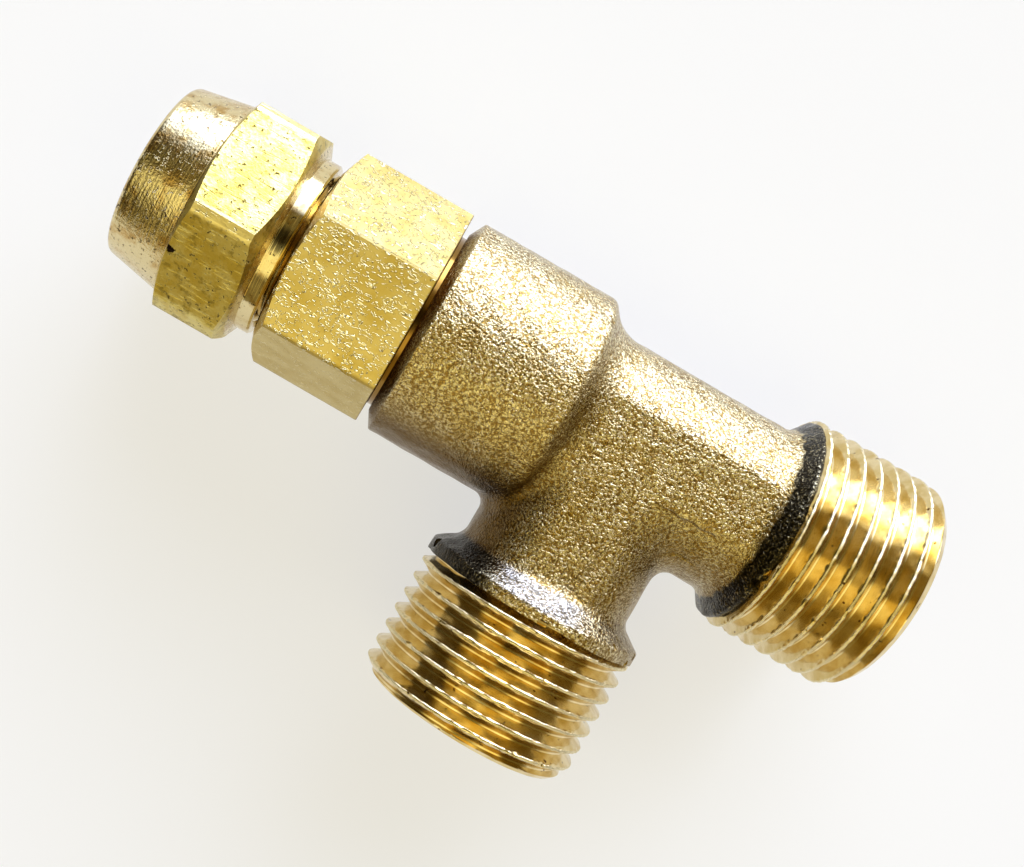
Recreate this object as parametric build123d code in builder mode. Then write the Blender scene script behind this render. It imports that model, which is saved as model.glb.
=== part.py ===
from build123d import *
import math
import os

# Non-return valve for an air compressor, brass, in millimetres.
# The straight run lies along X: tube nut at -X, tank thread at +X.
# The branch points to -Y. The origin is on the run's axis, where the tank thread begins.

# Parallel pipe thread of both body ends
thread_major_r = 8.3
thread_pitch = 1.337
thread_depth = 0.856
thread_flank_deg = 27.5
thread_end_bevel = 0.85

# Forged tee
tank_thread_length = 9.9
tank_thread_to_branch = 11.6
branch_thread_length = 9.7
branch_reach = 23.4
stem_under_root = 0.844
flare_length = 1.15
tank_collar_under_thread = 0.25
tank_collar_land = 0.15
branch_collar_over_thread = 0.06
branch_collar_land = 0.9
barrel_over_thread = 0.17
barrel_end_to_branch = 5.7
barrel_to_branch = 17.1
shoulder_length = 1.6
shoulder_round = 0.6
shoulder_root_round = 1.0
barrel_rim_depth = 1.25
barrel_rim_length = 0.65
forge_land_depth = 0.4
land_edge_tolerance = 0.1
inner_corner_round = 1.3
barrel_corner_share = 0.55

# Passages and valve chamber
passage_wall = 2.2
passage_mouth_bevel = 0.6
chamber_under_thread = 0.45
chamber_floor_to_branch = 2.9
oring_pocket_wall = 1.92
oring_pocket_depth = 0.98

# Adapter between the tube nut and the body
adapter_hex_under_barrel = 1.94
adapter_hex_turn_deg = -18.6
adapter_hex_length = 9.4
adapter_bevel_deg = 22.0
hex_face_inset = 0.6
washer_face_inset = 0.64
washer_face_length = 0.4
oring_pocket_step = 0.6
bonnet_spigot_length = 5.5
bonnet_neck_under_thread = 0.45
bonnet_neck_length = 1.1
bonnet_end_bevel = 0.4
thread_gap = 0.05
nozzle_under_chamber = 2.0
nozzle_length = 1.0
nozzle_wall = 0.6
tube_thread_r = 5.95
tube_thread_length = 6.55
tube_socket_depth = 3.6
ferrule_seat_deg = 24.0
ferrule_seat_length = 2.3

# Tube nut
spanner_step = 1.0
nut_hex_turn_deg = 7.2
nut_hex_length = 6.15
nut_bevel_deg = 25.0
nut_edge_break = 0.4
nut_worn_edge_break = 1.4
nut_collar_inset = 1.13
nut_collar_length = 1.1
nut_collar_bevel = 0.15
nut_gap = 0.4
nose_length = 4.45
nose_base_inset = 0.5
nose_taper = 1.05
nose_round = 0.7
nut_rear_inset = 0.95
nut_thread_depth = 7.05
tube_hole_r = 4.08
tube_hole_bevel = 0.35
nut_cone_gap = 0.17

# Ferrule on the tube
tube_clear_r = 4.05
ferrule_tip_wall = 0.25
ferrule_gap = 0.12
ferrule_cone_length = 1.97
ferrule_land_length = 0.7
ferrule_rear_length = 0.8

# Valve piston, seal and spring
piston_gap = 0.2
piston_length = 2.3
piston_flat_depth = 1.25
piston_flat_count = 3
pilot_length = 1.0
pilot_gap = 0.6
seal_over_nozzle = 0.2
seal_thickness = 1.2
seal_stands_proud = 0.4
seal_gap = 0.03
spring_wire_r = 0.3
spring_gap = 0.25
spring_turns = 4
spring_end_gap = 0.02
spring_end_pitch = 0.62
spring_points_per_turn = 12
oring_wire_r = 0.47
oring_gap = 0.02

# Radii of the body, from its thread inwards
thread_root_r = thread_major_r - thread_depth
stem_r = thread_root_r - stem_under_root
forge_land_height = stem_r - forge_land_depth
tank_collar_r = thread_major_r - tank_collar_under_thread
branch_collar_r = thread_major_r + branch_collar_over_thread
barrel_r = thread_major_r + barrel_over_thread
passage_r = stem_r - passage_wall
oring_pocket_r = barrel_r - oring_pocket_wall
bonnet_thread_r = oring_pocket_r - oring_pocket_step
chamber_r = bonnet_thread_r - chamber_under_thread

# Radii and widths across flats of the adapter and the nut
adapter_hex_across = 2 * barrel_r - adapter_hex_under_barrel
adapter_bevel_r = adapter_hex_across / 2 - hex_face_inset
washer_face_r = adapter_hex_across / 2 - washer_face_inset
bonnet_neck_r = bonnet_thread_r - bonnet_neck_under_thread
nozzle_r = chamber_r - nozzle_under_chamber
inlet_bore_r = nozzle_r - nozzle_wall
nut_hex_across = adapter_hex_across + spanner_step
nut_collar_r = nut_hex_across / 2 - nut_collar_inset
nose_base_r = nut_hex_across / 2 - nose_base_inset
nose_tip_r = nose_base_r - nose_taper
nut_rear_bevel_r = nut_hex_across / 2 - nut_rear_inset

# Radii of the piston, its seal and its spring
piston_r = chamber_r - piston_gap
piston_flat_to_axis = chamber_r - piston_flat_depth
seal_r = nozzle_r + seal_over_nozzle
spring_mean_r = chamber_r - spring_gap - spring_wire_r
pilot_r = spring_mean_r - spring_wire_r - pilot_gap

# Stations along X, each worked out from its neighbour
branch_x = -tank_thread_to_branch
barrel_face_x = branch_x - barrel_to_branch
barrel_end_x = branch_x - barrel_end_to_branch
chamber_floor_x = branch_x - chamber_floor_to_branch
oring_floor_x = barrel_face_x + oring_pocket_depth
hex_right_x = barrel_face_x - washer_face_length
hex_left_x = hex_right_x - adapter_hex_length
bonnet_end_x = barrel_face_x + bonnet_spigot_length
nozzle_tip_x = bonnet_end_x + nozzle_length
tube_end_x = hex_left_x - tube_thread_length
nut_face_x = hex_left_x - nut_gap
nut_hex_right_x = nut_face_x - nut_collar_length
nut_hex_left_x = nut_hex_right_x - nut_hex_length
nose_end_x = nut_hex_left_x - nose_length
piston_front_x = nozzle_tip_x + seal_stands_proud
piston_back_x = piston_front_x + piston_length
shoulder_root_x = barrel_end_x + shoulder_length
tank_flare_x = -tank_collar_land - flare_length
branch_thread_start = branch_reach - branch_thread_length
branch_flare_start = branch_thread_start - branch_collar_land - flare_length
stem_past_barrel = branch_flare_start - barrel_r
shoulder_height = barrel_r - stem_r
barrel_corner_round = barrel_corner_share / (1 / stem_past_barrel + 1 / shoulder_height)

# Cones that meet the ferrule
seat_slope = math.tan(math.radians(ferrule_seat_deg))
seat_mouth_r = tube_clear_r + ferrule_seat_length * seat_slope
seat_inner_x = tube_end_x + ferrule_seat_length
ferrule_tip_x = seat_inner_x - (ferrule_tip_wall + ferrule_gap) / seat_slope
ferrule_land_x = ferrule_tip_x - ferrule_cone_length
ferrule_r = tube_clear_r + ferrule_tip_wall + ferrule_cone_length * seat_slope
ferrule_shoulder_x = ferrule_land_x - ferrule_land_length
ferrule_rear_x = ferrule_shoulder_x - ferrule_rear_length
nut_thread_r = tube_thread_r + thread_gap
nut_thread_end_x = nut_face_x - nut_thread_depth
nut_cone_r = ferrule_r + nut_cone_gap + nut_thread_end_x - ferrule_shoulder_x

# Spring between piston and chamber floor, and ring in its pocket
spring_start_x = piston_back_x + spring_wire_r + spring_end_gap
spring_room = chamber_floor_x - piston_back_x - 2 * (spring_wire_r + spring_end_gap)
spring_pitch = (spring_room - 2 * spring_end_pitch) / (spring_turns - 2)
bonnet_ring_r = bonnet_neck_r + oring_gap + oring_wire_r

os.makedirs("parts", exist_ok=True)


def save(part, name):
    """Label one finished piece and write its file."""
    part.label = name
    export_step(part, f"parts/{name}.step")


def ring_grooves(start, count):
    """Draw the thread's V grooves along local X, from the station where the thread begins."""
    flank = thread_depth * math.tan(math.radians(thread_flank_deg))
    flat = (thread_pitch - 2 * flank) / 2
    for i in range(count):
        middle = start + (i + 0.5) * thread_pitch
        Polygon(
            (middle - flat / 2 - flank, thread_major_r),
            (middle - flat / 2, thread_major_r - thread_depth),
            (middle + flat / 2, thread_major_r - thread_depth),
            (middle + flat / 2 + flank, thread_major_r),
            (middle, thread_major_r + flank),
            align=None,
        )


def inner_corner(body, side):
    """Pick the curved edges where the branch leaves the run, on one side of the branch's axis."""
    curved = (GeomType.ELLIPSE, GeomType.BSPLINE)
    edges = body.edges().filter_by(lambda e: e.geom_type in curved)
    edges = edges.filter_by(lambda e: side * (e.center().X - branch_x) > passage_r / 2)
    return edges.filter_by(lambda e: abs(e.center().Z) < forge_land_height - land_edge_tolerance)


def hexagon(across, turn_deg):
    """Draw a hexagon with one corner turned by an angle from the top towards the branch side."""
    RegularPolygon(
        radius=across / 2,
        side_count=6,
        major_radius=False,
        rotation=90 + turn_deg,
    )


def hex_bevel(face_x, start_r, across, angle_deg, inward):
    """Draw the wedge that a lathe takes off a hexagon's corners at one end."""
    corner_r = across
    depth = (corner_r - start_r) * math.tan(math.radians(angle_deg))
    Polygon(
        (face_x, start_r),
        (face_x + inward * depth, corner_r),
        (face_x, corner_r),
        align=None,
    )


# Forged body
# One brass forging: barrel, stem, branch and collars, drilled and threaded afterwards.
branch_plane = Plane(origin=(branch_x, 0, 0), x_dir=(0, -1, 0), z_dir=(0, 0, 1))
branch_axis = Axis((branch_x, 0, 0), (0, -1, 0))

with BuildPart() as valve_body:
    with BuildSketch(Plane.XY) as run_profile:
        with BuildLine():
            Polyline(
                (barrel_face_x, 0),
                (barrel_face_x, barrel_r - barrel_rim_depth),
                (barrel_face_x + barrel_rim_length, barrel_r),
                (barrel_end_x, barrel_r),
                (barrel_end_x + shoulder_length, stem_r),
                (tank_flare_x, stem_r),
                (-tank_collar_land, tank_collar_r),
                (0, tank_collar_r),
                (0, thread_major_r),
                (tank_thread_length - thread_end_bevel, thread_major_r),
                (tank_thread_length, thread_major_r - thread_end_bevel),
                (tank_thread_length, 0),
                close=True,
            )
        make_face()
        top_corner = run_profile.vertices().sort_by_distance((barrel_end_x, barrel_r))[0]
        fillet(top_corner, shoulder_round)
        root_corner = run_profile.vertices().sort_by_distance((shoulder_root_x, stem_r))[0]
        fillet(root_corner, shoulder_root_round)
    revolve(axis=Axis.X)

    with BuildSketch(branch_plane) as branch_profile:
        Polygon(
            (0, 0),
            (0, stem_r),
            (branch_flare_start, stem_r),
            (branch_flare_start + flare_length, branch_collar_r),
            (branch_thread_start, branch_collar_r),
            (branch_thread_start, thread_major_r),
            (branch_reach - thread_end_bevel, thread_major_r),
            (branch_reach, thread_major_r - thread_end_bevel),
            (branch_reach, 0),
            align=None,
        )
    revolve(axis=branch_axis)

    # Flat lands that the forging dies leave above and below the crossing
    land_x = (shoulder_root_x + tank_flare_x) / 2
    land_y = (stem_r - branch_flare_start) / 2
    with Locations((land_x, land_y, stem_r), (land_x, land_y, -stem_r)):
        Box(
            tank_flare_x - shoulder_root_x,
            stem_r + branch_flare_start,
            2 * (stem_r - forge_land_height),
            mode=Mode.SUBTRACT,
        )

    # Rounds in the two inner corners, where branch and run meet
    fillet(inner_corner(valve_body, 1), inner_corner_round)
    fillet(inner_corner(valve_body, -1), barrel_corner_round)

    # Thread grooves of both ends
    with BuildSketch(Plane.XY):
        ring_grooves(0, int(tank_thread_length / thread_pitch))
    revolve(axis=Axis.X, mode=Mode.SUBTRACT)
    with BuildSketch(branch_plane):
        ring_grooves(branch_thread_start, int(branch_thread_length / thread_pitch))
    revolve(axis=branch_axis, mode=Mode.SUBTRACT)

    # Valve chamber and run passage, bored from both ends
    with BuildSketch(Plane.XY):
        Polygon(
            (barrel_face_x, 0),
            (barrel_face_x, oring_pocket_r),
            (oring_floor_x, oring_pocket_r),
            (oring_floor_x, bonnet_thread_r + thread_gap),
            (bonnet_end_x, bonnet_thread_r + thread_gap),
            (bonnet_end_x, chamber_r),
            (chamber_floor_x, chamber_r),
            (chamber_floor_x, passage_r),
            (tank_thread_length - passage_mouth_bevel, passage_r),
            (tank_thread_length, passage_r + passage_mouth_bevel),
            (tank_thread_length, 0),
            align=None,
        )
    revolve(axis=Axis.X, mode=Mode.SUBTRACT)

    # Branch passage
    with BuildSketch(branch_plane):
        Polygon(
            (0, 0),
            (0, passage_r),
            (branch_reach - passage_mouth_bevel, passage_r),
            (branch_reach, passage_r + passage_mouth_bevel),
            (branch_reach, 0),
            align=None,
        )
    revolve(axis=branch_axis, mode=Mode.SUBTRACT)

save(valve_body.part, "valve_body")


# Inlet adapter
# Turned from drawn hexagon bar: bonnet thread and valve seat on one side, tube thread on the other.
with BuildPart() as inlet_adapter:
    with BuildSketch(Plane.YZ.offset(hex_left_x)):
        hexagon(adapter_hex_across, adapter_hex_turn_deg)
    extrude(amount=adapter_hex_length)
    with BuildSketch(Plane.XY):
        hex_bevel(hex_left_x, adapter_bevel_r, adapter_hex_across, adapter_bevel_deg, 1)
    revolve(axis=Axis.X, mode=Mode.SUBTRACT)

    with BuildSketch(Plane.XY):
        Polygon(
            (tube_end_x, 0),
            (tube_end_x, tube_thread_r - bonnet_end_bevel),
            (tube_end_x + bonnet_end_bevel, tube_thread_r),
            (hex_left_x, tube_thread_r),
            (hex_right_x, tube_thread_r),
            (hex_right_x, washer_face_r),
            (barrel_face_x, washer_face_r),
            (barrel_face_x, bonnet_neck_r),
            (barrel_face_x + bonnet_neck_length, bonnet_neck_r),
            (barrel_face_x + bonnet_neck_length, bonnet_thread_r),
            (bonnet_end_x - bonnet_end_bevel, bonnet_thread_r),
            (bonnet_end_x, bonnet_thread_r - bonnet_end_bevel),
            (bonnet_end_x, nozzle_r),
            (nozzle_tip_x, nozzle_r),
            (nozzle_tip_x, 0),
            align=None,
        )
    revolve(axis=Axis.X)

    # Tube socket with its cone for the ferrule, then the air bore up to the seat
    with BuildSketch(Plane.XY):
        Polygon(
            (tube_end_x, 0),
            (tube_end_x, seat_mouth_r),
            (seat_inner_x, tube_clear_r),
            (tube_end_x + tube_socket_depth, tube_clear_r),
            (tube_end_x + tube_socket_depth, inlet_bore_r),
            (nozzle_tip_x, inlet_bore_r),
            (nozzle_tip_x, 0),
            align=None,
        )
    revolve(axis=Axis.X, mode=Mode.SUBTRACT)

save(inlet_adapter.part, "inlet_adapter")


# Tube nut
# Turned hexagon nut with a plain collar behind and a tapered nose in front, slightly worn.
with BuildPart() as compression_nut:
    with BuildSketch(Plane.YZ.offset(nut_hex_left_x)):
        hexagon(nut_hex_across, nut_hex_turn_deg)
    extrude(amount=nut_hex_length)

    # Broken edges, one of them rounded over by a spanner
    worn_angle = math.radians(nut_hex_turn_deg + 60)
    worn_point = (
        nut_hex_left_x,
        -nut_hex_across * math.sin(worn_angle),
        nut_hex_across * math.cos(worn_angle),
    )
    long_edges = compression_nut.edges().filter_by(Axis.X).sort_by_distance(worn_point)
    chamfer(long_edges[1:], nut_edge_break)
    worn_edge = compression_nut.edges().filter_by(Axis.X).sort_by_distance(worn_point)[0]
    chamfer(worn_edge, nut_worn_edge_break)

    with BuildSketch(Plane.XY):
        hex_bevel(nut_hex_left_x, nose_base_r, nut_hex_across, nut_bevel_deg, 1)
        hex_bevel(nut_hex_right_x, nut_rear_bevel_r, nut_hex_across, nut_bevel_deg, -1)
    revolve(axis=Axis.X, mode=Mode.SUBTRACT)

    with BuildSketch(Plane.XY) as nut_profile:
        Polygon(
            (nose_end_x, 0),
            (nose_end_x, nose_tip_r),
            (nut_hex_left_x, nose_base_r),
            (nut_hex_right_x, nose_base_r),
            (nut_hex_right_x, nut_collar_r),
            (nut_face_x - nut_collar_bevel, nut_collar_r),
            (nut_face_x, nut_collar_r - nut_collar_bevel),
            (nut_face_x, 0),
            align=None,
        )
        rim = nut_profile.vertices().sort_by_distance((nose_end_x, nose_tip_r))[0]
        fillet(rim, nose_round)
    revolve(axis=Axis.X)

    # Thread bore, cone that closes on the ferrule, and tube hole
    with BuildSketch(Plane.XY):
        Polygon(
            (nut_face_x, 0),
            (nut_face_x, nut_thread_r),
            (nut_thread_end_x, nut_thread_r),
            (nut_thread_end_x, nut_cone_r),
            (nut_thread_end_x - (nut_cone_r - tube_hole_r), tube_hole_r),
            (nose_end_x + tube_hole_bevel, tube_hole_r),
            (nose_end_x, tube_hole_r + tube_hole_bevel),
            (nose_end_x, 0),
            align=None,
        )
    revolve(axis=Axis.X, mode=Mode.SUBTRACT)

save(compression_nut.part, "compression_nut")


# Ferrule
# Soft brass olive with a long cone towards the adapter and a short one towards the nut.
with BuildPart() as ferrule:
    with BuildSketch(Plane.XY):
        Polygon(
            (ferrule_tip_x, tube_clear_r),
            (ferrule_tip_x, tube_clear_r + ferrule_tip_wall),
            (ferrule_land_x, ferrule_r),
            (ferrule_shoulder_x, ferrule_r),
            (ferrule_rear_x, ferrule_r - ferrule_rear_length),
            (ferrule_rear_x, tube_clear_r),
            align=None,
        )
    revolve(axis=Axis.X)

save(ferrule.part, "ferrule")


# Valve piston
# Turned brass piston on three guide ribs, with a pocket for the seal and a pilot for the spring.
with BuildPart() as valve_piston:
    with BuildSketch(Plane.YZ.offset(piston_front_x)):
        Circle(piston_r)
        RegularPolygon(
            radius=piston_flat_to_axis,
            side_count=piston_flat_count,
            major_radius=False,
            mode=Mode.INTERSECT,
        )
    extrude(amount=piston_length)
    with BuildSketch(Plane.YZ.offset(piston_back_x)):
        Circle(pilot_r)
    extrude(amount=pilot_length)
    with BuildSketch(Plane.YZ.offset(piston_front_x)):
        Circle(seal_r)
    extrude(amount=seal_thickness - seal_stands_proud, mode=Mode.SUBTRACT)

save(valve_piston.part, "valve_piston")


# Seal disc
# Flat nitrile disc pressed in the piston, closing on the adapter's nozzle.
with BuildPart() as seal_disc:
    with BuildSketch(Plane.YZ.offset(nozzle_tip_x)):
        Circle(seal_r - seal_gap)
    extrude(amount=seal_thickness)

save(seal_disc.part, "seal_disc")


# Return spring
# Stainless wire coil with both end turns closed, between the piston and the chamber floor.
def spring_point(turn):
    """Give the wire's centre after so many turns, with a small pitch in the two end turns."""
    angle = 2 * math.pi * turn
    first = min(turn, 1) * spring_end_pitch
    last = max(turn - (spring_turns - 1), 0) * spring_end_pitch
    middle = min(max(turn - 1, 0), spring_turns - 2) * spring_pitch
    x = spring_start_x + first + middle + last
    return (x, spring_mean_r * math.cos(angle), spring_mean_r * math.sin(angle))


with BuildPart() as return_spring:
    with BuildLine() as spring_path:
        steps = range(spring_points_per_turn * spring_turns + 1)
        Spline(*[spring_point(i / spring_points_per_turn) for i in steps])
    wire_start = Plane(origin=spring_path.line @ 0, z_dir=spring_path.line % 0)
    with BuildSketch(wire_start):
        Circle(spring_wire_r)
    sweep(path=spring_path.line, is_frenet=True)

save(return_spring.part, "return_spring")


# Bonnet ring
# Nitrile ring held between the adapter's neck, its washer face and the body's pocket.
with BuildPart() as bonnet_ring:
    with BuildSketch(Plane.XY):
        with Locations((barrel_face_x + oring_pocket_depth / 2, bonnet_ring_r)):
            Circle(oring_wire_r)
    revolve(axis=Axis.X)

save(bonnet_ring.part, "bonnet_ring")
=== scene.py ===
import bpy
import bmesh
import math
import numpy as np
from mathutils import Matrix, Vector


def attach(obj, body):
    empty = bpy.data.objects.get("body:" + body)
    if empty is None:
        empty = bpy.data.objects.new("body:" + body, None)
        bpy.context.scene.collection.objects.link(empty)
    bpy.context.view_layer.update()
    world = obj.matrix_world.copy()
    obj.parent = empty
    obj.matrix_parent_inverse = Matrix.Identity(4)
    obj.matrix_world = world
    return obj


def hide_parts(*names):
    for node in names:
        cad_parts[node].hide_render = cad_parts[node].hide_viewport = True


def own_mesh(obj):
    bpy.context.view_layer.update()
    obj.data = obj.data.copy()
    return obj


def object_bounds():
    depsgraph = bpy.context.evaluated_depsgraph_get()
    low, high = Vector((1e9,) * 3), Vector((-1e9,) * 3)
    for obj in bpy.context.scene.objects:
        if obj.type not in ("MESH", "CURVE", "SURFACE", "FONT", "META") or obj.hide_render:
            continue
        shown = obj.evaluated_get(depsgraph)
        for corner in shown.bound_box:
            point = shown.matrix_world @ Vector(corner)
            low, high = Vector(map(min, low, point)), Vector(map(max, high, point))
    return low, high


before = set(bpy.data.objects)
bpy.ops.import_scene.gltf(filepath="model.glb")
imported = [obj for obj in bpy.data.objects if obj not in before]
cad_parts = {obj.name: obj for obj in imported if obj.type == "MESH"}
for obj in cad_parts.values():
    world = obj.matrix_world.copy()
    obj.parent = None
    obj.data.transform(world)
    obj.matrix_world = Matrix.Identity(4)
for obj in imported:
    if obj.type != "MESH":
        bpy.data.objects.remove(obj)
cad_box = [list(corner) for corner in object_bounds()]


# Valve body
# A hot brass forging: barrel, stem, branch and two collars in one piece. The dies and the blasting
# leave it grainy, with soft rounds and two flat lands. Its rim, faces and bores are machined.
MM = 0.001
RUN_R = 6.6
BARREL_R = 8.47
BARREL_RIM_R = 7.22
BARREL_RIM_BEVEL = 0.65
BARREL_FACE_X = -28.7
BARREL_END_X = -17.3
SHOULDER_LENGTH = 2.6
SHOULDER_FOOT_R = 5.4
SHOULDER_ROUND = 1.0
BRANCH_X = -11.6
STEM_END = 13.0
CORNER_ROUND = 1.3
BARREL_CORNER_ROUND = 1.8
TANK_COLLAR_R = 8.05
TANK_FLARE_X = -3.0
BRANCH_COLLAR_R = 8.36
BRANCH_FLARE_START = 10.2
BRANCH_FLARE_END = 12.75
BRANCH_THREAD_START = 13.7
FLARE_FOOT_R = 4.6
FLARE_ROUND = 0.5
LAND_Z = 6.2
LAND_EDGE = 0.05
LAND_CORNER = (-8.74, -2.69)
LAND_STEP = 0.34
LAND_STEP_WIDTH = 0.12
LAND_STEP_FADE = 3.0
WAVE_HEIGHT = 0.022
PASSAGE_R = 4.4
CHAMBER_R = 5.5
CHAMBER_FLOOR_X = -14.5
SCREW_END_X = -23.2
BONNET_R = 6.0
RING_POCKET_R = 6.55
RING_POCKET_DEPTH = 0.98
BORE_RELIEF = 0.8
THREAD_SEAT = 0.25
FORGING_LOW = (-29.1, -14.2, -9.1)
FORGING_HIGH = (0.5, 9.1, 9.1)
FORGING_STEP = 0.22
SETTLING_PASSES = 8
SMOOTHED_PASSES = (3, 5)
SHARPENING_PASSES = 3
CREASE_DEG = 30
CRINKLE_MM = 0.21
GRIT_MM = 0.9
PATCH_MM = 3.0
SPOT_RAGGED_MM = 0.9
SPOT_START_MM = 0.5
SPOT_FULL_MM = 0.38
COLLAR_BREAK = (0.0, -3.2, 7.35)
COLLAR_PIT = (-0.2, -4.3, 6.85)


def rounded(points, radii, steps=5):
    """Round the inner corners of an open profile, one radius for each point."""
    out = []
    for i, (point, radius) in enumerate(zip(points, radii)):
        if radius == 0:
            out.append(point)
            continue
        here = Vector(point)
        back = (Vector(points[i - 1]) - here).normalized()
        ahead = (Vector(points[i + 1]) - here).normalized()
        half = back.angle(ahead) / 2
        centre = here + (back + ahead).normalized() * radius / math.sin(half)
        first = here + back * radius / math.tan(half) - centre
        last = here + ahead * radius / math.tan(half) - centre
        sweep = first.angle_signed(last)
        for k in range(steps + 1):
            turned = first.copy()
            turned.rotate(Matrix.Rotation(-sweep * k / steps, 2))
            out.append(tuple(centre + turned))
    return out


def outline_distance(along, radius, points):
    """Signed distance to a turned outline, negative inside. The outline rises from the axis and returns."""
    best = np.full(along.shape, 1e9)
    for (x0, r0), (x1, r1) in zip(points[:-1], points[1:]):
        dx, dr = x1 - x0, r1 - r0
        length2 = dx * dx + dr * dr
        if length2 == 0:
            continue
        t = np.clip(((along - x0) * dx + (radius - r0) * dr) / length2, 0, 1)
        best = np.minimum(best, np.hypot(along - x0 - t * dx, radius - r0 - t * dr))
    top = np.interp(along, [p[0] for p in points], [p[1] for p in points], left=-1, right=-1)
    return np.where(radius < top, -best, best)


def join_round(a, b, radius):
    """Join two distance fields with a hollow round between them."""
    corner = np.hypot(np.maximum(radius - a, 0), np.maximum(radius - b, 0))
    return np.maximum(radius, np.minimum(a, b)) - corner


def cut_round(a, b, radius):
    """Keep what is inside both fields, with the edge between them rounded off."""
    corner = np.hypot(np.maximum(radius + a, 0), np.maximum(radius + b, 0))
    return np.minimum(-radius, np.maximum(a, b)) + corner


barrel_outline = rounded(
    [
        (BARREL_FACE_X, 0),
        (BARREL_FACE_X, BARREL_RIM_R),
        (BARREL_FACE_X + BARREL_RIM_BEVEL, BARREL_R),
        (BARREL_END_X, BARREL_R),
        (BARREL_END_X + SHOULDER_LENGTH, SHOULDER_FOOT_R),
        (BARREL_END_X + SHOULDER_LENGTH, 0),
    ],
    [0, 0.1, 0.22, 0.9, 0, 0],
)
tank_collar_outline = rounded(
    [
        (TANK_FLARE_X, 0),
        (TANK_FLARE_X, FLARE_FOOT_R),
        (-0.35, TANK_COLLAR_R),
        (0.0, TANK_COLLAR_R - 0.1),
        (0.0, 0),
    ],
    [0, 0, 0.25, 0, 0],
)
branch_collar_outline = rounded(
    [
        (BRANCH_FLARE_START, 0),
        (BRANCH_FLARE_START, FLARE_FOOT_R),
        (BRANCH_FLARE_END, BRANCH_COLLAR_R),
        (BRANCH_THREAD_START - 0.02, BRANCH_COLLAR_R),
        (BRANCH_THREAD_START, 0),
    ],
    [0, 0, 0.3, 0.1, 0],
)
chamber_outline = [
    (BARREL_FACE_X - 0.5, 0),
    (BARREL_FACE_X - 0.5, RING_POCKET_R),
    (BARREL_FACE_X + RING_POCKET_DEPTH, RING_POCKET_R),
    (BARREL_FACE_X + RING_POCKET_DEPTH, BONNET_R),
    (SCREW_END_X, BONNET_R),
    (SCREW_END_X, CHAMBER_R),
    (CHAMBER_FLOOR_X, CHAMBER_R),
    (CHAMBER_FLOOR_X, 0),
]
passage_outline = [
    (CHAMBER_FLOOR_X - 0.5, 0),
    (CHAMBER_FLOOR_X - 0.5, PASSAGE_R),
    (-THREAD_SEAT, PASSAGE_R),
    (-THREAD_SEAT, PASSAGE_R + BORE_RELIEF),
    (1.0, PASSAGE_R + BORE_RELIEF),
    (1.0, 0),
]
drop_outline = [
    (0.0, 0),
    (0.0, PASSAGE_R),
    (BRANCH_THREAD_START - THREAD_SEAT, PASSAGE_R),
    (BRANCH_THREAD_START - THREAD_SEAT, PASSAGE_R + BORE_RELIEF),
    (BRANCH_THREAD_START + 1, PASSAGE_R + BORE_RELIEF),
    (BRANCH_THREAD_START + 1, 0),
]

# Chips of the skin, each a place and a radius, where a tool or another part has knocked it
CHIPS = [
    ((-0.05, -4.35, 6.95), 0.62),
    ((0.15, -3.6, 7.35), 0.4),
    ((-19.9, -12.9, 1.6), 0.45),
    ((-4.35, -13.6, 4.3), 0.4),
    ((-3.75, -12.9, 3.2), 0.3),
    ((-6.1, -12.6, 6.2), 0.26),
]


def forging_distance(p):
    """Distance field of the whole forging with its bores, in millimetres."""
    x, y, z = p
    run_radius = np.hypot(y, z)
    branch_radius = np.hypot(x - BRANCH_X, z)
    run = np.maximum(run_radius - RUN_R, np.maximum(x, BARREL_END_X - 2 - x))
    branch = np.maximum(branch_radius - RUN_R, np.maximum(-y - STEM_END, y))
    inner_round = np.where(x < BRANCH_X, BARREL_CORNER_ROUND, CORNER_ROUND)
    stem = join_round(run, branch, inner_round)
    stem = cut_round(stem, np.abs(z) - LAND_Z, LAND_EDGE)
    barrel = outline_distance(x, run_radius, barrel_outline)
    tank_collar = outline_distance(x, run_radius, tank_collar_outline)
    branch_collar = outline_distance(-y, branch_radius, branch_collar_outline)
    whole = join_round(stem, barrel, SHOULDER_ROUND)
    whole = join_round(whole, tank_collar, FLARE_ROUND)
    whole = join_round(whole, branch_collar, FLARE_ROUND)

    # The skin swells and dips a little everywhere but at the turned rim
    waves = np.sin(2.3 * x + 1.1 * y + 0.7 * z) * np.sin(1.6 * y - 1.9 * z + 1.1)
    waves = waves + np.sin(1.2 * x - 2.7 * z + 0.4) * np.sin(2.2 * y + 0.8 * x)
    whole = whole + WAVE_HEIGHT * waves * (x > BARREL_FACE_X + 0.9)

    # The die steps down at the land's inner corner, on the face that lies upwards
    past_run = LAND_CORNER[1] - y + 0.06 * np.sin(4 * x)
    past_branch = x - LAND_CORNER[0] + 0.3 * (LAND_CORNER[1] - y)
    past_edge = np.minimum(past_run, past_branch)
    step_down = np.clip(past_edge / LAND_STEP_WIDTH, 0, 1)
    step_down = step_down * np.clip(1.15 - past_edge / LAND_STEP_FADE, 0, 1)
    whole = whole + LAND_STEP * step_down * (z > 4) * np.clip((-3.5 - x) / 1.5, 0, 1)
    for place, radius in CHIPS:
        knock = radius - np.sqrt((x - place[0]) ** 2 + (y - place[1]) ** 2 + (z - place[2]) ** 2)
        whole = np.maximum(whole, knock)
    bore = np.minimum(
        outline_distance(x, run_radius, chamber_outline), outline_distance(x, run_radius, passage_outline)
    )
    bore = np.minimum(bore, outline_distance(-y, branch_radius, drop_outline))
    return np.maximum(whole, -bore)


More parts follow.
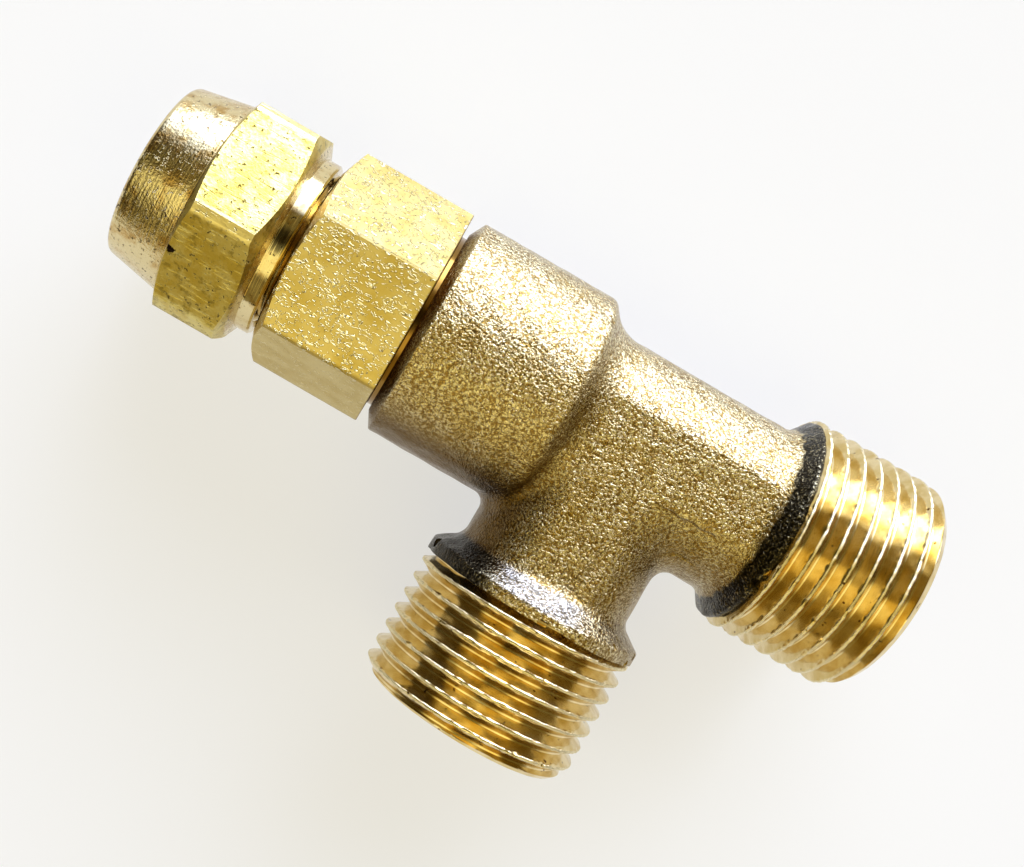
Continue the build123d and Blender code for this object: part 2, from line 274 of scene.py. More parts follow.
def surface_net(field, low, high, step):
    """Wrap a distance field in a mesh of four-sided faces, one point for each cell the surface crosses."""
    counts = [int(math.ceil((b - a) / step)) + 1 for a, b in zip(low, high)]
    axes = [a + step * np.arange(n) for a, n in zip(low, counts)]
    inside = field(np.meshgrid(*axes, indexing="ij")) < 0
    corners = sum(
        inside[i : i + counts[0] - 1, j : j + counts[1] - 1, k : k + counts[2] - 1].astype(np.int8)
        for i in (0, 1)
        for j in (0, 1)
        for k in (0, 1)
    )
    crossed = (corners > 0) & (corners < 8)
    number = np.full(crossed.shape, -1)
    number[crossed] = np.arange(crossed.sum())
    points = np.array(low) + step * (np.argwhere(crossed) + 0.5)
    faces = []
    for axis in range(3):
        first = np.take(inside, range(counts[axis] - 1), axis)
        second = np.take(inside, range(1, counts[axis]), axis)
        edges = np.argwhere(first != second)
        u, v = [a for a in range(3) if a != axis]
        leaves = first[tuple(edges.T)]
        around = []
        for du, dv in ((-1, -1), (0, -1), (0, 0), (-1, 0)):
            cell = edges.copy()
            cell[:, u] += du
            cell[:, v] += dv
            around.append(number[tuple(cell.T)])
        quads = np.stack(around, 1)
        flip = leaves if axis == 1 else ~leaves
        quads[flip] = quads[flip][:, ::-1]
        faces.append(quads)
    faces = np.concatenate(faces)
    for settling in range(SETTLING_PASSES):
        if settling in SMOOTHED_PASSES:
            points = relaxed(points, faces)
        points = onto_surface(field, points, step)
    for sharpening in range(SHARPENING_PASSES):
        points = onto_edges(field, points, faces, step)
    return points, faces


def gradient(field, points):
    """Slope of a distance field at each point."""
    small = 0.01
    slopes = []
    for axis in range(3):
        move = np.zeros(3)
        move[axis] = small
        slopes.append((field((points + move).T) - field((points - move).T)) / (2 * small))
    return np.stack(slopes, 1)


def onto_surface(field, points, limit):
    """Move points along the slope towards the surface."""
    slope = gradient(field, points)
    steep = np.maximum((slope**2).sum(1), 0.05)
    move = -(field(points.T) / steep)[:, None] * slope
    return points + np.clip(move, -limit, limit)


def onto_edges(field, points, faces, step):
    """Move each point to where the tangent planes of its faces meet, so that edges come out crisp."""
    middles = onto_surface(field, onto_surface(field, points[faces].mean(1), step), step)
    slopes = gradient(field, middles)
    normals = slopes / np.maximum(np.linalg.norm(slopes, axis=1), 1e-6)[:, None]
    squares = normals[:, :, None] * normals[:, None, :]
    reaches = normals * (normals * middles).sum(1)[:, None]
    pull = 0.05
    matrix = np.tile(pull * np.eye(3), (len(points), 1, 1))
    target = pull * points
    for corner in range(4):
        np.add.at(matrix, faces[:, corner], squares)
        np.add.at(target, faces[:, corner], reaches)
    found = np.linalg.solve(matrix, target[:, :, None])[:, :, 0]
    return points + np.clip(found - points, -0.5 * step, 0.5 * step)


def relaxed(points, faces):
    """Move each point half way to the middle of its neighbours."""
    total = np.zeros_like(points)
    count = np.zeros(len(points))
    for a in range(4):
        b = (a + 1) % 4
        np.add.at(total, faces[:, a], points[faces[:, b]])
        np.add.at(total, faces[:, b], points[faces[:, a]])
        np.add.at(count, faces[:, a], 1)
        np.add.at(count, faces[:, b], 1)
    return points + 0.5 * (total / np.maximum(count, 1)[:, None] - points)


def new_piece(name, points, faces, material):
    """Make a mesh object at the origin from points in millimetres, smooth but for its sharp edges."""
    mesh = bpy.data.meshes.new(name)
    mesh.from_pydata((np.asarray(points, float) * MM).tolist(), [], [list(face) for face in faces])
    mesh.materials.append(material)
    mesh.validate()
    mesh.shade_smooth()
    mesh.set_sharp_from_angle(angle=math.radians(CREASE_DEG))
    piece = bpy.data.objects.new(name, mesh)
    bpy.context.scene.collection.objects.link(piece)
    return piece


def linear(hex_colour):
    """Turn an sRGB hex colour into the linear colour that Blender's nodes take."""
    parts = [int(hex_colour[i : i + 2], 16) / 255 for i in (1, 3, 5)]
    lit = [c / 12.92 if c <= 0.04045 else ((c + 0.055) / 1.055) ** 2.4 for c in parts]
    return (*lit, 1)


def add(tree, kind, inputs=None, **settings):
    """Add one node with its settings. inputs gives each socket its source, or else its constant."""
    node = tree.nodes.new(kind)
    for name, value in settings.items():
        setattr(node, name, value)
    for key, value in (inputs or {}).items():
        source = value.outputs[0] if hasattr(value, "outputs") else value
        if isinstance(source, bpy.types.NodeSocket):
            tree.links.new(source, node.inputs[key])
        else:
            node.inputs[key].default_value = source
    return node


def new_material(name):
    """Make a metal material, and give it with its tree, its shader and the object coordinates."""
    material = bpy.data.materials.new(name)
    material.use_nodes = True
    tree = material.node_tree
    shader = tree.nodes["Principled BSDF"]
    shader.inputs["Metallic"].default_value = 1
    place = add(tree, "ShaderNodeTexCoord").outputs["Object"]
    return material, tree, shader, place


def layered(tree, under, layers):
    """Lay colours over one another. A layer has a colour, and the masks that it shows through together."""
    colour = linear(under) if isinstance(under, str) else under
    for over_hex, *masks in layers:
        mask = masks[0]
        for other in masks[1:]:
            mask = add(tree, "ShaderNodeMath", {0: mask, 1: other}, operation="MULTIPLY")
        mix = add(tree, "ShaderNodeMix", {0: mask, 6: colour, 7: linear(over_hex)}, data_type="RGBA")
        colour = mix.outputs[2]
    return colour


def spot(tree, place, centre_mm, radius_mm, ragged):
    """Mark a round spot with a ragged edge at one place of the piece."""
    centre = Vector(centre_mm) * MM
    reach = add(tree, "ShaderNodeVectorMath", {0: place, 1: centre}, operation="DISTANCE").outputs["Value"]
    depth = SPOT_RAGGED_MM * MM
    edge = add(tree, "ShaderNodeMath", {0: ragged, 1: depth, 2: reach}, operation="MULTIPLY_ADD")
    start = (radius_mm + SPOT_START_MM) * MM
    full = (radius_mm + SPOT_FULL_MM) * MM
    return add(
        tree,
        "ShaderNodeMapRange",
        {"Value": edge, "From Min": start, "From Max": full},
        interpolation_type="SMOOTHSTEP",
    )


def blasted_brass():
    """Brass forging blasted with grit: a crinkled grain, bright on its peaks and brown in its hollows."""
    material, tree, shader, place = new_material("brass_forged_and_blasted")
    crinkle = add(
        tree,
        "ShaderNodeTexNoise",
        {"Vector": place, "Scale": 1 / (CRINKLE_MM * MM), "Roughness": 0.6, "Distortion": 0.8},
    )
    grit = add(tree, "ShaderNodeTexNoise", {"Vector": place, "Scale": 1 / (GRIT_MM * MM)})
    patch = add(tree, "ShaderNodeTexNoise", {"Vector": place, "Scale": 1 / (PATCH_MM * MM)})
    part = add(tree, "ShaderNodeSeparateXYZ", {0: place}).outputs
    across = add(tree, "ShaderNodeCombineXYZ", {"X": part["Y"], "Y": part["Z"]})
    run_r = add(tree, "ShaderNodeVectorMath", {0: across}, operation="LENGTH").outputs["Value"]
    ragged_x = add(tree, "ShaderNodeMath", {0: grit, 1: 0.8 * MM, 2: part["X"]}, operation="MULTIPLY_ADD")
    mask = {}
    for name, source, start, end, low, high in (
        ("peaks", crinkle, 0.4, 0.6, 0, 1),
        ("hollows", crinkle, 0.55, 0.4, 0, 1),
        ("worn", patch, 0.45, 0.75, 0, 0.4),
        ("low down", part["Z"], 7.2 * MM, 4.0 * MM, 0, 1),
        ("near side", part["Y"], -1.0 * MM, -5.0 * MM, 0, 0.9),
        ("shaded side", part["X"], -8.0 * MM, -12.0 * MM, 0.45, 1),
        ("right of scale", ragged_x, -16.2 * MM, -14.2 * MM, 0, 1),
        ("left of corner", ragged_x, -7.5 * MM, -10.0 * MM, 0, 1),
        ("branch end", part["Y"], -11.3 * MM, -11.7 * MM, 0, 1),
        ("on flare", part["Y"], -13.1 * MM, -12.7 * MM, 0, 1),
        ("tank side", ragged_x, -0.95 * MM, -0.75 * MM, 0, 1),
        ("tank rim", run_r, 6.75 * MM, 6.95 * MM, 0, 1),
        ("hidden side", ragged_x, -14.4 * MM, -16.4 * MM, 0, 1),
        ("thin scale", crinkle, 0.5, 0.72, 1, 0.55),
    ):
        mask[name] = add(
            tree,
            "ShaderNodeMapRange",
            {"Value": source, "From Min": start, "From Max": end, "To Min": low, "To Max": high},
            interpolation_type="SMOOTHSTEP",
        )

    # Dark scale lies on the tank collar's flare and on the hidden side of the branch collar's
    tank_scale = add(
        tree, "ShaderNodeMath", {0: mask["tank side"], 1: mask["tank rim"]}, operation="MULTIPLY"
    )
    branch_scale = add(
        tree, "ShaderNodeMath", {0: mask["branch end"], 1: mask["hidden side"]}, operation="MULTIPLY"
    )
    scale = add(tree, "ShaderNodeMath", {0: tank_scale, 1: branch_scale}, operation="MAXIMUM")

    # A dark brown shade is painted low on the near side, for the shadowed floor that the lower sides
    # mirror. The middle of the branch collar's flare is painted silvery, with grey hollows, as a highlight.
    # One pit on the tank collar is painted black as the shade in its hollow, with a bright break beside it.
    # Painted highlight: the branch collar's flare is silvery on its peaks and grey in its hollows
    silver_highlight_area = [mask[name] for name in ("right of scale", "left of corner", "branch end", "on flare")]
    colour = layered(
        tree,
        "#96783A",
        [
            ("#DACDA4", mask["peaks"]),
            ("#A88A42", mask["worn"]),
            # Painted shade: dark brown low down, on the near side and towards -X
            ("#5E4208", mask["low down"], mask["near side"], mask["shaded side"]),
            ("#B9B6B1", *silver_highlight_area, mask["peaks"]),
            ("#6B675F", *silver_highlight_area, mask["hollows"]),
            ("#241F14", scale, mask["thin scale"]),
            ("#C9A24A", spot(tree, place, COLLAR_BREAK, 0.36, grit)),
            # Painted shade: the pit is black for the shade in its hollow
            ("#080603", spot(tree, place, COLLAR_PIT, 0.5, grit)),
        ],
    )
    tree.links.new(colour, shader.inputs["Base Color"])
    shader.inputs["Roughness"].default_value = 0.2
    swell = add(tree, "ShaderNodeBump", {"Height": grit, "Strength": 0.6, "Distance": 0.08 * MM})
    bump = add(
        tree,
        "ShaderNodeBump",
        {"Height": crinkle, "Normal": swell, "Strength": 1.0, "Distance": 0.12 * MM},
    )
    tree.links.new(bump.outputs[0], shader.inputs["Normal"])
    return material


forging_points, forging_faces = surface_net(forging_distance, FORGING_LOW, FORGING_HIGH, FORGING_STEP)
forging = new_piece("forged_body", forging_points, forging_faces.tolist(), blasted_brass())
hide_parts("valve_body")
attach(forging, "valve")


# Pipe threads
# Two parallel pipe threads of three eighths, cut on the forging's ends with a single-point tool. The
# flanks are bright, and the narrow crests are a little torn, with nicks from handling.
THREAD_R = 8.3
THREAD_PITCH = 1.337
THREAD_DEPTH = 0.856
THREAD_END_BEVEL = 0.85
THREAD_TEAR = 0.02
TANK_THREAD_PHASE = 0.02
BRANCH_THREAD_PHASE = 0.843
TANK_END_X = 9.9
BRANCH_REACH = 23.4
MOUTH_BEVEL = 0.6
CHATTER_MM = 0.14
TOOL_LINE_MM = 0.12
STAIN_MM = 1.6
SPECK_MM = 0.5
SWAY_MM = 1.5
ROUND_STREAK = (1, 0.03, 0.03)
ROWS_PER_PITCH = 24
ROOT_ROWS = 1
CREST_ROW = 10
CREST_CROWN = 0.04
END_SLOPE = 60
TEAR_MM = 0.35
KNOCK_MM = 0.8
THREAD_COLUMNS = 360
SPARE_PITCHES = 2.1
ROOT_CLEAR = 0.01
FACE_EDGE = 0.05
MERGE_MM = 0.002
WELD_MM = 0.003


def thread_nodes():
    """Node tree of a turned thread: a sheet rolled round X, with its radius given by the helix."""
    tree = bpy.data.node_groups.new("turned_thread", "GeometryNodeTree")
    tree.interface.new_socket("Geometry", in_out="OUTPUT", socket_type="NodeSocketGeometry")
    for name in ("Radius", "Pitch", "Depth", "Length", "Phase", "End Bevel", "End Radius", "Tear"):
        tree.interface.new_socket(name, in_out="INPUT", socket_type="NodeSocketFloat")
    tree.interface.new_socket("Rows", in_out="INPUT", socket_type="NodeSocketInt")
    tree.interface.new_socket("Material", in_out="INPUT", socket_type="NodeSocketMaterial")
    size = add(tree, "NodeGroupInput").outputs

    # The sheet slides by one pitch in one turn, so that its rows lie along the helix
    row_gap = add(tree, "ShaderNodeMath", {0: size["Pitch"], 1: ROWS_PER_PITCH}, operation="DIVIDE")
    steps = add(tree, "ShaderNodeMath", {0: size["Rows"], 1: 1}, operation="SUBTRACT")
    span = add(tree, "ShaderNodeMath", {0: row_gap, 1: steps}, operation="MULTIPLY")
    sheet = add(
        tree,
        "GeometryNodeMeshGrid",
        {"Size X": span, "Size Y": 1, "Vertices X": size["Rows"], "Vertices Y": THREAD_COLUMNS + 1},
    )
    corner = add(tree, "ShaderNodeSeparateXYZ", {0: add(tree, "GeometryNodeInputPosition")}).outputs
    turn = add(tree, "ShaderNodeMath", {0: corner["Y"], 1: 0.5}, operation="ADD")
    lag = add(tree, "ShaderNodeMath", {0: turn, 1: size["Phase"]}, operation="SUBTRACT")
    back = add(tree, "ShaderNodeMath", {0: lag, 1: 1}, operation="SUBTRACT")
    slid = add(
        tree, "ShaderNodeMath", {0: back, 1: size["Pitch"], 2: corner["X"]}, operation="MULTIPLY_ADD"
    )
    free = add(tree, "ShaderNodeMath", {0: span, 1: 0.5, 2: slid}, operation="MULTIPLY_ADD")
    not_before = add(tree, "ShaderNodeMath", {0: free, 1: 0}, operation="MAXIMUM")
    along = add(tree, "ShaderNodeMath", {0: not_before, 1: size["Length"]}, operation="MINIMUM")

    # Crest, flank and root follow from how far the point is through the pitch
    pitches = add(tree, "ShaderNodeMath", {0: along, 1: size["Pitch"]}, operation="DIVIDE")
    through = add(tree, "ShaderNodeMath", {0: pitches, 1: lag}, operation="SUBTRACT")
    part = add(tree, "ShaderNodeMath", {0: through}, operation="FRACT")
    middle = add(tree, "ShaderNodeMath", {0: part, 1: 0.5}, operation="SUBTRACT")
    off_root = add(tree, "ShaderNodeMath", {0: middle}, operation="ABSOLUTE")
    angle = add(tree, "ShaderNodeMath", {0: turn, 1: 2 * math.pi}, operation="MULTIPLY")
    cosine = add(tree, "ShaderNodeMath", {0: angle}, operation="COSINE")
    sine = add(tree, "ShaderNodeMath", {0: angle}, operation="SINE")
    skin_y = add(tree, "ShaderNodeMath", {0: cosine, 1: size["Radius"]}, operation="MULTIPLY")
    skin_z = add(tree, "ShaderNodeMath", {0: sine, 1: size["Radius"]}, operation="MULTIPLY")
    skin = add(tree, "ShaderNodeCombineXYZ", {"X": along, "Y": skin_y, "Z": skin_z})
    tear = add(tree, "ShaderNodeTexNoise", {"Vector": skin, "Scale": 1 / (TEAR_MM * MM), "Detail": 1})
    knock = add(tree, "ShaderNodeTexNoise", {"Vector": skin, "Scale": 1 / (KNOCK_MM * MM), "Detail": 0})
    crest_start = CREST_ROW / ROWS_PER_PITCH
    crest_end = (CREST_ROW + 1) / ROWS_PER_PITCH
    mask = {}
    for name, source, start, end, low, high in (
        ("near crest", off_root, (CREST_ROW - 2) / ROWS_PER_PITCH, crest_start, 0, 1),
        ("ragged", tear, 0.3, 0.7, -0.02, 0.02),
        ("lump", tear, 0.3, 0.7, -0.5, 0.5),
        ("nick", knock, 0.66, 0.76, 0, -3),
    ):
        mask[name] = add(
            tree,
            "ShaderNodeMapRange",
            {"Value": source, "From Min": start, "From Max": end, "To Min": low, "To Max": high},
            interpolation_type="SMOOTHSTEP",
        )
    ragged = add(tree, "ShaderNodeMath", {0: mask["ragged"], 1: mask["near crest"]}, operation="MULTIPLY")
    flank = add(tree, "ShaderNodeMath", {0: off_root, 1: ragged}, operation="ADD")
    rise = add(
        tree,
        "ShaderNodeMapRange",
        {
            "Value": flank,
            "From Min": ROOT_ROWS / ROWS_PER_PITCH,
            "From Max": crest_start,
            "To Max": 1 - CREST_CROWN,
        },
    )
    crown = add(
        tree,
        "ShaderNodeMapRange",
        {"Value": flank, "From Min": crest_start, "From Max": crest_end, "To Max": CREST_CROWN},
    )
    crowned = add(tree, "ShaderNodeMath", {0: rise, 1: crown}, operation="ADD")
    below = add(tree, "ShaderNodeMath", {0: crowned, 1: 1}, operation="SUBTRACT")
    cut_r = add(
        tree, "ShaderNodeMath", {0: below, 1: size["Depth"], 2: size["Radius"]}, operation="MULTIPLY_ADD"
    )
    damage = add(tree, "ShaderNodeMath", {0: mask["nick"], 1: mask["lump"]}, operation="ADD")
    on_crest = add(tree, "ShaderNodeMath", {0: damage, 1: mask["near crest"]}, operation="MULTIPLY")
    torn_r = add(tree, "ShaderNodeMath", {0: on_crest, 1: size["Tear"], 2: cut_r}, operation="MULTIPLY_ADD")

    # A bevel leads the thread in, and both ends close on one round edge
    to_end = add(tree, "ShaderNodeMath", {0: size["Length"], 1: along}, operation="SUBTRACT")
    bevel_low = add(tree, "ShaderNodeMath", {0: size["Radius"], 1: size["End Bevel"]}, operation="SUBTRACT")
    bevel_r = add(tree, "ShaderNodeMath", {0: bevel_low, 1: to_end}, operation="ADD")
    led_r = add(tree, "ShaderNodeMath", {0: torn_r, 1: bevel_r}, operation="MINIMUM")
    near_end = add(tree, "ShaderNodeMath", {0: along, 1: to_end}, operation="MINIMUM")
    edge_r = add(
        tree, "ShaderNodeMath", {0: near_end, 1: END_SLOPE, 2: size["End Radius"]}, operation="MULTIPLY_ADD"
    )
    radius = add(tree, "ShaderNodeMath", {0: led_r, 1: edge_r}, operation="MINIMUM")
    y = add(tree, "ShaderNodeMath", {0: radius, 1: cosine}, operation="MULTIPLY")
    z = add(tree, "ShaderNodeMath", {0: radius, 1: sine}, operation="MULTIPLY")
    where = add(tree, "ShaderNodeCombineXYZ", {"X": along, "Y": y, "Z": z})
    rolled = add(tree, "GeometryNodeSetPosition", {"Geometry": sheet, "Position": where})
    closed = add(tree, "GeometryNodeMergeByDistance", {"Geometry": rolled, "Distance": MERGE_MM * MM})
    outward = add(tree, "GeometryNodeFlipFaces", {"Mesh": closed})
    real = add(tree, "GeometryNodeRealizeInstances", {"Geometry": outward})
    finished = add(tree, "GeometryNodeSetMaterial", {"Geometry": real, "Material": size["Material"]})
    add(tree, "NodeGroupOutput", {"Geometry": finished})
    return tree


def made_by(tree, name, sizes):
    """Run a node tree with named sizes and give its result as a plain mesh object."""
    piece = bpy.data.objects.new(name, bpy.data.meshes.new(name))
    bpy.context.scene.collection.objects.link(piece)
    modifier = piece.modifiers.new("made", "NODES")
    modifier.node_group = tree
    for item in tree.interface.items_tree:
        if item.in_out == "INPUT":
            modifier[item.identifier] = sizes[item.name]
    done = piece.evaluated_get(bpy.context.evaluated_depsgraph_get())
    mesh = bpy.data.meshes.new_from_object(done)
    mesh.name = name
    piece.modifiers.clear()
    piece.data = mesh
    return piece


def lathe(name, columns, material, closed=False):
    """Turn a piece about X. columns gives an angle and the same number of (x, r) points for each."""
    count = len(columns[0][1])
    points = []
    for angle, column in columns:
        sine, cosine = math.sin(angle), math.cos(angle)
        points += [(x, r * cosine, r * sine) for x, r in column]
    faces = []
    for i in range(len(columns)):
        j = (i + 1) % len(columns)
        for k in range(count - 1 + closed):
            m = (k + 1) % count
            faces.append((j * count + k, j * count + m, i * count + m, i * count + k))
    return new_piece(name, points, faces, material)


def turned(name, outline, material, columns=180, closed=True):
    """Turn one plain outline about X."""
    return lathe(name, [(2 * math.pi * i / columns, outline) for i in range(columns)], material, closed)


def weld(piece, other):
    """Weld a second mesh to a piece where their edges meet, and make all faces point outwards."""
    joined = bmesh.new()
    joined.from_mesh(piece.data)
    joined.from_mesh(other.data)
    bmesh.ops.remove_doubles(joined, verts=joined.verts, dist=WELD_MM * MM)
    bmesh.ops.recalc_face_normals(joined, faces=joined.faces)
    joined.to_mesh(piece.data)
    joined.free()
    bpy.data.objects.remove(other)
    piece.data.shade_smooth()
    piece.data.set_sharp_from_angle(angle=math.radians(CREASE_DEG))


def threaded_end(tree, name, radius, pitch, depth, length, phase, bore, material, tear, mouth=0.0):
    """Make one threaded tube end from x = 0 to its length, with its face, mouth and bore."""
    end_radius = radius - depth - ROOT_CLEAR
    rows = int(math.ceil((length + SPARE_PITCHES * pitch) / pitch * ROWS_PER_PITCH)) + 1
    piece = made_by(
        tree,
        name,
        {
            "Radius": radius * MM,
            "Pitch": pitch * MM,
            "Depth": depth * MM,
            "Length": length * MM,
            "Phase": phase % 1.0,
            "End Bevel": THREAD_END_BEVEL / THREAD_DEPTH * depth * MM,
            "End Radius": end_radius * MM,
            "Tear": tear * MM,
            "Rows": rows,
            "Material": material,
        },
    )
    face = [end_radius, end_radius - FACE_EDGE, bore + mouth + FACE_EDGE]
    rim = [(length, radius) for radius in face]
    if mouth:
        rim.append((length, bore + mouth))
    rim += [(length - mouth, bore), (0, bore), (0, bore + FACE_EDGE), (0, end_radius)]
    weld(piece, turned(name + "_inside", rim, material, THREAD_COLUMNS, closed=False))
    piece.data.materials.clear()
    piece.data.materials.append(material)
    piece.data.polygons.foreach_set("material_index", [0] * len(piece.data.polygons))
    return piece


def cut_thread_brass(name, axis_place, axis_turn, crest_r):
    """Brass cut by a thread tool: clean gold flanks that sway a little, crests with chatter and a painted
    highlight.
    """
    material, tree, shader, place = new_material(name)
    local = add(tree, "ShaderNodeMapping", {"Vector": place, "Location": axis_place, "Rotation": axis_turn})
    part = add(tree, "ShaderNodeSeparateXYZ", {0: local}).outputs
    flat = add(tree, "ShaderNodeCombineXYZ", {"X": part["Y"], "Y": part["Z"]})
    radius = add(tree, "ShaderNodeVectorMath", {0: flat}, operation="LENGTH").outputs["Value"]
    stain = add(tree, "ShaderNodeTexNoise", {"Vector": place, "Scale": 1 / (STAIN_MM * MM), "Detail": 3})
    speck = add(tree, "ShaderNodeTexNoise", {"Vector": place, "Scale": 1 / (SPECK_MM * MM), "Detail": 1})
    mask = {}
    for name, source, start, end in (
        ("crest", radius, (crest_r - 0.07) * MM, (crest_r - 0.03) * MM),
        ("stained", stain, 0.35, 0.68),
        ("specks", speck, 0.73, 0.78),
    ):
        mask[name] = add(
            tree,
            "ShaderNodeMapRange",
            {"Value": source, "From Min": start, "From Max": end},
            interpolation_type="SMOOTHSTEP",
        )
    # Painted highlight: the crests are a little paler than the flanks
    colour = layered(
        tree,
        "#E7D4A2",
        [("#D3B872", mask["stained"]), ("#EBDCAE", mask["crest"]), ("#6B4A1C", mask["specks"])],
    )
    tree.links.new(colour, shader.inputs["Base Color"])
    shine = add(
        tree,
        "ShaderNodeMapRange",
        {"Value": mask["crest"], "To Min": 0.17, "To Max": 0.24},
        interpolation_type="SMOOTHSTEP",
    )
    tree.links.new(shine.outputs[0], shader.inputs["Roughness"])

    # Turned lines, a slow sway of the cut skin and the chatter on the crests lie over one another
    around = add(tree, "ShaderNodeTexGradient", {"Vector": flat}, gradient_type="RADIAL").outputs["Fac"]
    chatter_count = 2 * math.pi * crest_r / CHATTER_MM
    strokes = add(tree, "ShaderNodeMath", {0: around, 1: 2 * math.pi * chatter_count}, operation="MULTIPLY")
    wobble = add(tree, "ShaderNodeMath", {0: stain, 1: 9, 2: strokes}, operation="MULTIPLY_ADD")
    chatter = add(tree, "ShaderNodeMath", {0: wobble}, operation="SINE")
    marks = add(tree, "ShaderNodeMath", {0: chatter, 1: mask["crest"]}, operation="MULTIPLY")
    streak = add(tree, "ShaderNodeMapping", {"Vector": local, "Scale": ROUND_STREAK})
    line_scale = 1 / (TOOL_LINE_MM * MM)
    lines = add(tree, "ShaderNodeTexNoise", {"Vector": streak, "Scale": line_scale, "Detail": 1})
    sway = add(tree, "ShaderNodeTexNoise", {"Vector": place, "Scale": 1 / (SWAY_MM * MM), "Detail": 0})
    bump = None
    for height, strength, depth_mm in ((lines, 0.5, 0.008), (sway, 0.7, 0.1), (marks, 0.8, 0.01)):
        relief = {"Height": height, "Strength": strength, "Distance": depth_mm * MM}
        if bump:
            relief["Normal"] = bump
        bump = add(tree, "ShaderNodeBump", relief)
    tree.links.new(bump.outputs[0], shader.inputs["Normal"])
    return material


thread_tree = thread_nodes()
tank_brass = cut_thread_brass("brass_thread_cut_tank", (0, 0, 0), (0, 0, 0), THREAD_R)
tank_thread = threaded_end(
    thread_tree,
    "tank_thread",
    THREAD_R,
    THREAD_PITCH,
    THREAD_DEPTH,
    TANK_END_X + THREAD_SEAT,
    TANK_THREAD_PHASE - THREAD_SEAT / THREAD_PITCH,
    PASSAGE_R,
    tank_brass,
    THREAD_TEAR,
    mouth=MOUTH_BEVEL,
)
tank_thread.data.transform(Matrix.Translation((-THREAD_SEAT * MM, 0, 0)))
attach(tank_thread, "valve")

branch_brass = cut_thread_brass(
    "brass_thread_cut_branch",
    (-BRANCH_THREAD_START * MM, -BRANCH_X * MM, 0),
    (0, 0, math.pi / 2),
    THREAD_R,
)
branch_thread = threaded_end(
    thread_tree,
    "branch_thread",
    THREAD_R,
    THREAD_PITCH,
    THREAD_DEPTH,
    BRANCH_REACH - BRANCH_THREAD_START + THREAD_SEAT,
    BRANCH_THREAD_PHASE - THREAD_SEAT / THREAD_PITCH,
    PASSAGE_R,
    branch_brass,
    THREAD_TEAR,
    mouth=MOUTH_BEVEL,
)
branch_start = Vector((BRANCH_X, THREAD_SEAT - BRANCH_THREAD_START, 0)) * MM
branch_thread.data.transform(Matrix.Translation(branch_start) @ Matrix.Rotation(-math.pi / 2, 4, "Z"))
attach(branch_thread, "valve")


# Valve piston, seal disc and bonnet ring
# A small turned piston on three guide ribs carries a nitrile disc, which closes on the adapter's nozzle.
# A ring of the same rubber seals the adapter in the barrel. Only the piston shows, down the tank bore.
RUBBER_GRAIN_MM = 0.2
BRASS_TONE_MM = 1.4


def turned_brass(name, light, dark, roughness, line_mm):
    """Brass from the lathe: fine lines round the axis and a slow change of tone."""
    material, tree, shader, place = new_material(name)
    streak = add(tree, "ShaderNodeMapping", {"Vector": place, "Scale": ROUND_STREAK})
    lines = add(tree, "ShaderNodeTexNoise", {"Vector": streak, "Scale": 1 / (line_mm * MM)})
    tone_scale = 1 / (BRASS_TONE_MM * MM)
    stain = add(tree, "ShaderNodeTexNoise", {"Vector": place, "Scale": tone_scale, "Detail": 3})
    tint = add(tree, "ShaderNodeMapRange", {"Value": stain, "From Min": 0.35, "From Max": 0.7})
    tree.links.new(layered(tree, light, [(dark, tint)]), shader.inputs["Base Color"])
    shader.inputs["Roughness"].default_value = roughness
    bump = add(tree, "ShaderNodeBump", {"Height": lines, "Strength": 0.6, "Distance": 0.012 * MM})
    tree.links.new(bump.outputs[0], shader.inputs["Normal"])
    return material


def dress(node, material):
    """Give a carried-over piece its finish."""
    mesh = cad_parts[node].data
    mesh.materials.clear()
    mesh.materials.append(material)


def nitrile():
    """Black nitrile rubber from a mould: nearly matt, with a fine grain."""
    material, tree, shader, place = new_material("nitrile_moulded")
    shader.inputs["Metallic"].default_value = 0
    grain = add(tree, "ShaderNodeTexNoise", {"Vector": place, "Scale": 1 / (RUBBER_GRAIN_MM * MM)})
    tree.links.new(layered(tree, "#1B1B1C", [("#2B2B2D", grain)]), shader.inputs["Base Color"])
    shader.inputs["Roughness"].default_value = 0.55
    bump = add(tree, "ShaderNodeBump", {"Height": grain, "Strength": 0.3, "Distance": 0.01 * MM})
    tree.links.new(bump.outputs[0], shader.inputs["Normal"])
    return material


rubber = nitrile()
dress("valve_piston", turned_brass("brass_turned_piston", "#D9BC72", "#B8944A", 0.25, 0.15))
dress("seal_disc", rubber)
dress("bonnet_ring", rubber)


# Return spring
# A coil of stainless wire with close end turns. It stands on the chamber's floor, holds the piston on
# the nozzle, and is pressed together when air lifts the piston.
SPRING_WIRE_R = 0.3
SPRING_GAP = 0.25
SPRING_MEAN_R = CHAMBER_R - SPRING_GAP - SPRING_WIRE_R
SPRING_TURNS = 4
SPRING_END_PITCH = 0.62
SPRING_START_X = -19.18
SPRING_END_X = -14.82
SPRING_STEPS = 60
WIRE_SIDES = 16
DRAW_LINE_MM = 0.25


def spring_x(turn):
    """Place of the wire's middle along X after so many turns. The first and last turns are close."""
    open_pitch = (SPRING_END_X - SPRING_START_X - 2 * SPRING_END_PITCH) / (SPRING_TURNS - 2)
    close_turns = min(turn, 1) + max(turn - (SPRING_TURNS - 1), 0)
    open_turns = min(max(turn - 1, 0), SPRING_TURNS - 2)
    return SPRING_START_X + close_turns * SPRING_END_PITCH + open_turns * open_pitch


